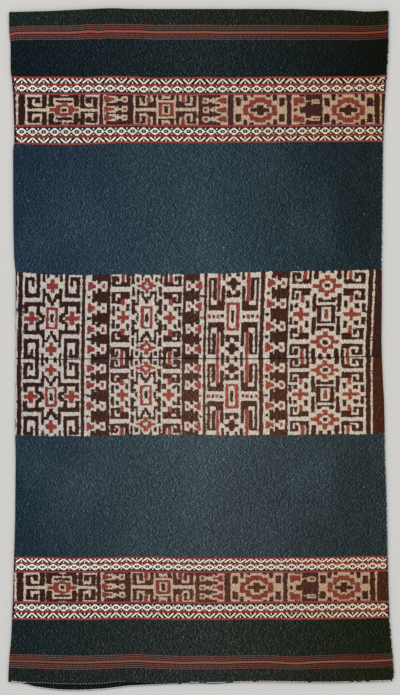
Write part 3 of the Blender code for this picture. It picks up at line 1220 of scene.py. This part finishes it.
    def untied(self) -> Socket:
        """Colour of all that isn't tied, with its wear and its grain.

        The back layer's strip by its outer edge is painted dark, as painted shade under the front hem,
            and the right fold is rubbed pale, as the sharp edge of a laid cloth is. The grain is calmer on
            the stripes and lines.

        Returns:
            The colour.
        """
        add, finish = self.add, self.finish
        colour = add(Node.MIX, add(Node.GREATER_THAN, self.lane, BAND_MIDDLE), self.field(), self.ends())
        in_band = add(Node.LESS_THAN, self.from_middle, BAND_HALF)
        colour = add(Node.MIX, in_band, colour, self.under_floats())
        # Painted shade: the back layer's strip by its outer edge is darkened to stand in for the shadow under
        # the front hem.
        behind = add(Node.LESS_THAN, self.front, 0.3)
        painted_hem_shade = add(Node.MULTIPLY, behind, add(Node.RANGE, self.lane, *self.PAINTED_HEM_SHADE_LANES))
        colour = add(Node.MIX, painted_hem_shade, colour, linear(finish.back_hem_painted_shade))
        rub = add(Node.RANGE, self.from_fold, 2.2, 0.4)
        patch = add(Node.RANGE, self.blots(50.0, 4.0, 2.0), -0.15, 0.1)
        rub = add(Node.MULTIPLY, add(Node.MULTIPLY, rub, patch), 0.7)
        colour = add(Node.MIX, rub, colour, linear(finish.rubbed))
        outer = add(Node.GREATER_THAN, self.lane, BAND_MIDDLE + BAND_HALF)
        strength = add(Node.ADD, 1.0, add(Node.MULTIPLY, outer, 0.3))
        calmer = [(self.from_middle, centre, 1.6, 0.5) for centre in RED_LINES]
        calmer += [(self.lane, STRIPES_MIDDLE, STRIPES_HALF, 0.8), (self.lane, STRIPES_MIDDLE, 2.1, 0.45)]
        for place, centre, half, calm in calmer:
            share = add(Node.MULTIPLY, self.line(place, centre, half), calm)
            strength = add(Node.SUBTRACT, strength, share)
        return self.grained(colour, strength)

    def paint(self) -> bpy.types.Material:
        """Lay the colours, with a ragged edge where the broad band ends, and the yarns' relief.

        Returns:
            The material.
        """
        add = self.add
        ragged = add(Node.ADD, self.lane, add(Node.MULTIPLY, self.blots(3.0, 40.0), 2.4))
        steps = add(Node.MULTIPLY, self.threads(self.weave, 2.4, 300.0), 1.7)
        in_middle = add(Node.LESS_THAN, add(Node.ADD, ragged, steps), IKAT_EDGE)
        in_narrow = add(Node.LESS_THAN, self.from_middle, NARROW_HALF)
        colour = add(Node.MIX, add(Node.MAXIMUM, in_middle, in_narrow), self.untied(), self.tied())
        at_seam = add(Node.LESS_THAN, self.lane, 0.7)
        yarns = add(Node.ADD, self.blots(3.4, 1.5, 2.0), self.grain)
        join(self.shader, {"Base Color": add(Node.MIX, at_seam, colour, linear(self.finish.sewn_edge)),
                           "Normal": add(Node.BUMP, 0.35, 0.0004, yarns),
                           "Roughness": 0.92, "Specular IOR Level": 0.12})
        return self.made


@dataclass(frozen=True)
class Yarn:
    """Plied cotton yarn, matte and slightly hairy, as used for floats and for sewing."""

    name: str
    colour: str
    second: str
    browning: float = 0.0      # how far the second colour gains towards the cloth's right side
    drift: float = 12 * MM     # length over which the colour drifts
    strand: float = 0.8 * MM   # thickness of one strand

    def material(self) -> bpy.types.Material:
        """Build the yarn's material, whose colour drifts and whose strands show as fine relief.

        Returns:
            The material.
        """
        made, shader, add = new_material(self.name)
        place = add(Node.PLACE)
        drift = add(Node.SOFT_NOISE, place, 1 / self.drift, 4.0)
        browner = add(Node.RANGE, add(Node.SPLIT, place), -HALF_CLOTH * MM, HALF_CLOTH * MM,
                      -self.browning, self.browning)
        colour = add(Node.MIX, add(Node.ADD, drift, browner), linear(self.colour), linear(self.second))
        strands = add(Node.SOFT_NOISE, place, 1 / self.strand, 1.0)
        join(shader, {"Base Color": colour, "Normal": add(Node.BUMP, 0.4, 0.0002, strands),
                      "Roughness": 0.9, "Specular IOR Level": 0.1})
        return made


@dataclass
class YarnPiece:
    """Many short stitches or floats of yarn, joined into one piece.

    One stitch is modelled along X, 1 mm long and 1 mm thick, and each copy is stretched to its
    own length and thickness, turned and set on the cloth.
    """

    name: str
    yarns: Sequence[Yarn]
    arch: float = 0.0
    sides: int = 6
    barrel: float = 0.72       # length of the straight part
    tip: float = 0.14          # length of each drawn-in end
    tip_width: float = 0.45    # its width beside the barrel's

    def __post_init__(self) -> None:
        """Start with no copies."""
        self.placed: list[tuple[Vector, tuple[float, float, float], float, bool, int]] = []

    def add(self, point: Vector, length: float, width: float, height: float, turn: float = 0.0,
            front: bool = True, yarn: int = 0) -> None:
        """Place one copy; sizes in mm, turn in radians, front False for the back layer."""
        self.placed.append((point, (length, width, height), turn, front, yarn))

    def model_stitch(self) -> Piece:
        """Model the one stitch: a rounded rod with drawn-in ends.

        Returns:
            The stitch.
        """
        deselect_all()
        bpy.ops.mesh.primitive_cylinder_add(vertices=self.sides, radius=0.5, depth=self.barrel,
                                            rotation=(0, math.pi / 2, 0), end_fill_type="NGON")
        stitch = bpy.context.object
        bpy.ops.object.transform_apply(location=True, rotation=True, scale=True)
        bpy.ops.object.mode_set(mode="EDIT")
        for end in (-1, 1):
            bpy.ops.mesh.select_all(action="DESELECT")
            bpy.ops.object.mode_set(mode="OBJECT")
            for face in stitch.data.polygons:
                face.select = face.normal.x * end > 0.9
            bpy.ops.object.mode_set(mode="EDIT")
            bpy.ops.mesh.select_mode(type="FACE")
            bpy.ops.mesh.extrude_region_move(TRANSFORM_OT_translate={"value": (self.tip * end, 0, 0)})
            bpy.ops.transform.resize(value=(1, self.tip_width, self.tip_width))
        bpy.ops.object.mode_set(mode="OBJECT")
        for vertex in stitch.data.vertices:
            vertex.co.z -= self.arch * (2 * vertex.co.x) ** 2
        return stitch

    def build(self) -> Piece:
        """Copy the stitch to every place and join the copies into one mesh.

        Returns:
            The piece.
        """
        stitch = self.model_stitch()
        points = np.array([vertex.co[:] for vertex in stitch.data.vertices])
        faces = [list(face.vertices) for face in stitch.data.polygons]
        bpy.data.objects.remove(stitch, do_unlink=True)
        all_points, all_faces, marks = [], [], []
        for number, (point, size, turn, front, yarn) in enumerate(self.placed):
            shaped = points * size
            if not front:
                shaped = shaped * (1, -1, -1)
            spun = shaped.copy()
            spun[:, 0] = shaped[:, 0] * math.cos(turn) - shaped[:, 1] * math.sin(turn)
            spun[:, 1] = shaped[:, 0] * math.sin(turn) + shaped[:, 1] * math.cos(turn)
            all_points.append(spun + np.array(point))
            all_faces += [[index + number * len(points) for index in face] for face in faces]
            marks += [yarn] * len(faces)
        mesh = bpy.data.meshes.new(self.name)
        mesh.from_pydata((np.concatenate(all_points) * MM).tolist(), [], all_faces)
        for yarn in self.yarns:
            mesh.materials.append(yarn.material())
        mesh.polygons.foreach_set("material_index", marks)
        mesh.shade_smooth()
        return link_piece(self.name, mesh)


@dataclass
class FloatRows:
    """Raised floats of a patterned band: rows of lozenge rings and rows of chevrons on one panel.

    The rings' pitch changes evenly from the first to the last, and a chevron lies over each,
    pointing up and down by turns. Floats run along the warp, in rows 1.6 mm apart. A span is given
    in mm from the figure's middle, and where it starts right of it, it lies on both sides.

    Attributes:
        edge: How far the rows stop short of the folds.
        shortest: Length under which a float cut short at a fold is left out.
        lift: Height of a float's middle over the cloth.
        ring_spans: Spans of a ring's rows, from its middle row outwards.
        chevron_spans: Spans of a chevron's rows, from its point on.
        over_ring: Floats on and beside a ring: middle, half length, level, yarn and further lift.
    """

    cloth: PanelCloth
    white: Yarn
    red: Yarn
    first: float
    first_pitch: float
    last_pitch: float
    row_pitch: float = 1.6
    width: float = 1.7
    height: float = 0.7
    last: float = 322.0
    edge: float = 3.2
    shortest: float = 1.2
    lift: float = 0.15
    ring_spans: Wander = ((4.0, 9.3), (3.1, 7.7), (-5.3, 5.3), (-2.9, 2.9))
    chevron_spans: Wander = ((-3.2, 3.2), (0.9, 5.3), (2.7, 7.1), (4.5, 8.9), (6.3, 9.7))
    over_ring: Sequence[tuple[float, float, float, int, float]] = (
        (0, 0.9, 0, 0, 0.3), (0.5, 5.4, 3, 1, 0), (0.5, 2.8, 2, 1, 0), (0.5, 0.9, 2.6, 0, 0.35),
        (0.5, 1.0, -2.2, 0, 0), (0.5, 1.0, -3.0, 0, 0))
    chevron_dot: float = 1.1

    def __post_init__(self) -> None:
        """Start with no row ends known, and list the floats of one ring and of one chevron."""
        self.ends: dict[int, tuple[float, float]] = {}
        self.ring = [(start, end, level, 0, 0.0) for level in range(-3, 4)
                     for start, end in self.both_sides(self.ring_spans[abs(level)])]
        for pitches, half, level, yarn, lift in self.over_ring:
            middle = pitches * self.first_pitch
            self.ring.append((middle - half, middle + half, level, yarn, lift))
        self.chevron = [(start, end, level - 2, 0, 0.0) for level, span in enumerate(self.chevron_spans)
                        for start, end in self.both_sides(span)]
        self.chevron += [(-self.chevron_dot, self.chevron_dot, level, 0, 0.0) for level in (1, 2)]

    @staticmethod
    def both_sides(span: tuple[float, float]) -> Wander:
        """A span that starts left of the middle once, and any other on both sides of it."""
        start, end = span
        return [span] if start < 0 else [span, (-end, -start)]

    def sides(self, lane: float) -> tuple[float, float]:
        """Find where a row stops beside the two folds.

        Args:
            lane: Lane of the row.

        Returns:
            Its left and its right end.
        """
        row = int(round(lane))
        if row not in self.ends:
            height = np.array([self.cloth.point(0.0, lane, True)[0].y])
            left, right = (float(self.cloth.side(height, way)[0]) for way in (False, True))
            self.ends[row] = (left + self.edge, right - self.edge)
        return self.ends[row]

    def centres(self) -> list[float]:
        """Step out the rings' middles.

        Returns:
            Their places across the cloth.
        """
        places = []
        place = self.first
        while place < self.last:
            places.append(place)
            share = (place - self.first) / (self.last - self.first)
            place += self.first_pitch + (self.last_pitch - self.first_pitch) * share
        return places

    def lay(self, piece: YarnPiece, start: float, end: float, lane: float, front: bool,
            yarn: int, raised: float) -> None:
        """Lay one float on the cloth's face, cut short at the folds.

        Args:
            piece: The piece that it joins.
            start: Its left end.
            end: Its right end.
            lane: Its lane.
            front: True for the front layer.
            yarn: Number of its yarn.
            raised: How far it stands over the others, in mm.
        """
        left, right = self.sides(lane)
        start, end = max(start, left), min(end, right)
        if end - start < self.shortest:
            return
        point, slope = self.cloth.point((start + end) / 2, lane, front)
        lift = (self.lift + raised) * (1 if front else -1)
        piece.add(point + Vector((0, 0, lift)), end - start, self.width, self.height, math.atan(slope),
                  front, yarn)

    def build(self, name: str) -> Piece:
        """Lay all rows of both layers.

        Args:
            name: Name of the piece.

        Returns:
            The joined floats.
        """
        piece = YarnPiece(name, (self.white, self.red))
        for front in (True, False):
            for side in (-1, 1):
                for number, centre in enumerate(self.centres()):
                    way = -side if number % 2 else side
                    for row, turn, floats in ((LOZENGE_LANE, side, self.ring),
                                              (ZIGZAG_LANE, way, self.chevron)):
                        for start, end, level, yarn, raised in floats:
                            lane = BAND_MIDDLE + side * row + turn * level * self.row_pitch
                            self.lay(piece, centre + start, centre + end, lane, front, yarn, raised)
        return piece.build()


@dataclass
class SeamStitches:
    """Whip stitches of dark thread that join the two panels edge to edge, layer by layer."""

    upper: PanelCloth
    thread: Yarn
    first: float = -313.5
    last: float = 305.0
    pitch: float = 1.9
    size: tuple[float, float, float] = (2.2, 1.0, 0.6)
    arch: float = 0.25
    lean: float = 1.0                             # radians from the warp
    below: float = 0.15                           # distance below the upper panel's edge
    lifts: tuple[float, float] = (0.1, -0.05)     # rise over the front and over the back layer

    def build(self, name: str) -> Piece:
        """Sew along the front and the back of the seam.

        Args:
            name: Name of the piece.

        Returns:
            The piece.
        """
        piece = YarnPiece(name, (self.thread,), self.arch)
        dice = np.random.default_rng(7)
        length, width, height = self.size
        for front, lift in zip((True, False), self.lifts):
            for place in np.arange(self.first, self.last, self.pitch):
                point, _ = self.upper.point(float(place), 0.0, front)
                wobble = 0.35 * math.sin(place / 9.0) + float(dice.normal(0, 0.2))
                point += Vector((0, wobble - self.below, lift))
                turn = self.lean + float(dice.normal(0, 0.12))
                piece.add(point, length * float(dice.uniform(0.75, 1.2)), width, height, turn, front)
        return piece.build()


@dataclass
class HemStitches:
    """Pale thread overcast along the lowest edge, and the dotted stitches of the front hem."""

    lower: PanelCloth
    thread: Yarn
    fine: Yarn
    first: float = -324.0
    last: float = 320.0
    lengths: tuple[float, float] = (5.5, 9.0)
    size: tuple[float, float] = (1.35, 0.9)
    arch: float = 0.1
    inset: float = 1.1         # how far the thread's middle lies in from the edge
    peek: float = 1.6          # where the back layer hangs this much lower, it takes the thread
    bare_from: float = -60.0   # to the right of this the thread has partly gone
    dots: tuple[float, float, float] = (-302.0, 300.0, 4.6)   # first, last and pitch
    dots_to: float = -130.0    # to the right of this only a third of the dots show
    dot_inset: float = 1.8
    dot_size: tuple[float, float, float] = (1.9, 0.9, 0.6)

    def build(self, name: str) -> Piece:
        """Sew the edge thread on whichever layer hangs lowest, and the dots on the front.

        Args:
            name: Name of the piece.

        Returns:
            The piece.
        """
        piece = YarnPiece(name, (self.thread, self.fine), self.arch)
        dice = np.random.default_rng(11)
        place = self.first
        while place < self.last:
            fore, slope = self.lower.point(place, EDGE_LANE, True)
            back, back_slope = self.lower.point(place, EDGE_LANE, False)
            peeks = fore.y - back.y > self.peek
            edge, slant = (back, back_slope) if peeks else (fore, slope)
            level = self.lower.thickness + 0.3 if peeks else edge.z - 0.2
            length = float(dice.uniform(*self.lengths))
            if place < self.bare_from or dice.uniform() < 0.8:
                point = Vector((place + length / 2, edge.y + slant * length / 2 + self.inset, level))
                piece.add(point, length, *self.size, math.atan(slant), True)
            place += length * 0.97
        for place in np.arange(*self.dots):
            if dice.uniform() > (1.0 if place < self.dots_to else 0.35):
                continue
            point, slope = self.lower.point(float(place), EDGE_LANE - self.dot_inset, True)
            piece.add(point + Vector((0, 0, 0.15)), *self.dot_size, math.atan(slope), True, 1)
        return piece.build()


@dataclass
class Studio:
    """Pale floor, soft light and a camera straight above the cloth.

    The photograph is taken as 400 by 695 pixels at 1.7 mm of cloth to a pixel, and its middle lies
    2.3 mm left of the cloth's middle and 3.6 mm above it.
    """

    distance: float = 4.0
    frame_height: float = 695 * 1.7 * MM
    middle: tuple[float, float] = (-2.3 * MM, 3.65 * MM)
    sensor: float = 36.0
    face_level: float = 3.8 * MM
    floor_size: float = 60.0
    floor_level: float = -0.4 * MM
    room_light: float = 0.62
    lights: Sequence[tuple[str, tuple[float, float, float], float, float]] = (
        ("left panel", (-2.6, 1.8, 2.4), 2.2, 34.0), ("right panel", (2.6, 1.2, 2.6), 2.2, 22.0),
        ("lower panel", (0.2, -3.0, 2.4), 2.4, 16.0))

    def build(self) -> None:
        """Make the floor, the lights, the world and the camera."""
        deselect_all()
        bpy.ops.mesh.primitive_plane_add(size=self.floor_size, location=(0, 0, self.floor_level))
        floor = bpy.context.object
        floor.name = "studio_floor"
        floor.data.materials.append(self.paper())
        world = bpy.data.worlds.new("soft white room")
        world.use_nodes = True
        join(world.node_tree.nodes["Background"], {"Color": linear("#ffffff"), "Strength": self.room_light})
        bpy.context.scene.world = world
        for light in self.lights:
            self.light(*light)
        self.camera()
        bpy.context.scene.view_settings.view_transform = "Standard"

    def paper(self) -> bpy.types.Material:
        """Mix the floor's pale matte paper.

        Returns:
            The material.
        """
        made, shader, _ = new_material("pale backdrop paper")
        join(shader, {"Base Color": linear("#dcdad6"), "Roughness": 0.95, "Specular IOR Level": 0.1})
        return made

    def light(self, name: str, place: tuple[float, float, float], size: float, watts: float) -> None:
        """Add a square soft light that looks at the cloth.

        Args:
            name: Its name.
            place: Its place in metres.
            size: Its side in metres.
            watts: Its strength.
        """
        lamp = bpy.data.lights.new(name, "AREA")
        lamp.size = size
        lamp.energy = watts
        holder = link_piece(name, lamp)
        holder.location = place
        holder.rotation_euler = (-Vector(place)).to_track_quat("-Z", "Y").to_euler()
        holder.visible_camera = False

    def camera(self) -> None:
        """Set the camera so that the frame's long side takes in the photograph's height."""
        data = bpy.data.cameras.new("photo camera")
        data.sensor_fit = "AUTO"
        data.sensor_width = self.sensor
        data.lens = self.sensor * (self.distance - self.face_level) / self.frame_height
        camera = link_piece("photo camera", data)
        camera.location = (*self.middle, self.distance)
        bpy.context.scene.camera = camera


def panels() -> tuple[PanelCloth, PanelCloth]:
    """Lay out the two panels.

    Returns:
        The upper and the lower one.
    """
    upper = PanelCloth("upper_cloth", "upper_panel", UPPER_LINES, 1, (
        TiedBand(-17.0, 137.5, 55.5, 1.7, UPPER_MIDDLE.figures(), MIDDLE_LEAN),
        TiedBand(380.0, 435.0, 407.4, 1.7, narrow_figures(), NO_LEAN)))
    lower = PanelCloth("lower_cloth", "lower_panel", LOWER_LINES, -1, (
        TiedBand(-147.0, -13.0, -79.6, 1.7, LOWER_MIDDLE.figures(), NO_LEAN, 1.7, -1.6),
        TiedBand(-431.0, -378.0, -404.3, 1.66, narrow_figures(), NO_LEAN, 1.686, -5.3)))
    return upper, lower


def main() -> None:
    """Build every piece in order and report it."""
    white = Yarn("undyed cotton float yarn", "#fffcf2", "#f0dab6", 0.5)
    red = Yarn("morinda red float yarn", "#a4473a", "#74302b")
    dark = Yarn("indigo sewing thread", "#141d27", "#090d12")
    pale = Yarn("bleached sewing thread", "#e8eceb", "#c2cccd")
    fine = Yarn("pale hem thread", "#b0babb", "#8a9698")
    upper, lower = panels()
    finishes = (
        DyedCotton(("#1a2b3a", "#2c3d45", "#131d1f"), "#3c4e58", ("#08141a", "#172123", "#050804"),
                   ("#151f1e", "#1b1e19", "#121505"), ("#2c1614", "#432620", "#361c12"),
                   ("#7f3634", "#8d3f38", "#8a3e2f"), ("#a65148", "#9f5142", "#893d2b")),
        DyedCotton(("#1b2b36", "#394449", "#212a2c"), "#47575e", ("#121e1f", "#232925", "#121708"),
                   ("#161d1c", "#222724", "#151808"), ("#301815", "#533126", "#412013"),
                   ("#82382f", "#9c4d3c", "#8f422f"), ("#80493e", "#9a5847", "#924f3e")),
    )
    for cloth, finish in zip((upper, lower), finishes):
        piece = cloth.build()
        piece.data.materials.append(finish.material(cloth.name + " dyed cotton"))
        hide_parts(cloth.node)
        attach(piece, "root")
        LOG.info("%s: %d points", cloth.name, len(piece.data.vertices))
    trims = [FloatRows(upper, white, red, -324.2, 18.7, 19.7).build("upper_floats"),
             FloatRows(lower, white, red, -323.9, 18.0, 17.1).build("lower_floats"),
             SeamStitches(upper, dark).build("seam_stitches"),
             HemStitches(lower, pale, fine).build("hem_stitches")]
    for trim in trims:
        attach(trim, "root")
        LOG.info("%s: %d points", trim.name, len(trim.data.vertices))
    Studio().build()


if __name__ == "__main__":
    logging.basicConfig(level=logging.INFO, format="%(name)s: %(message)s")
    main()
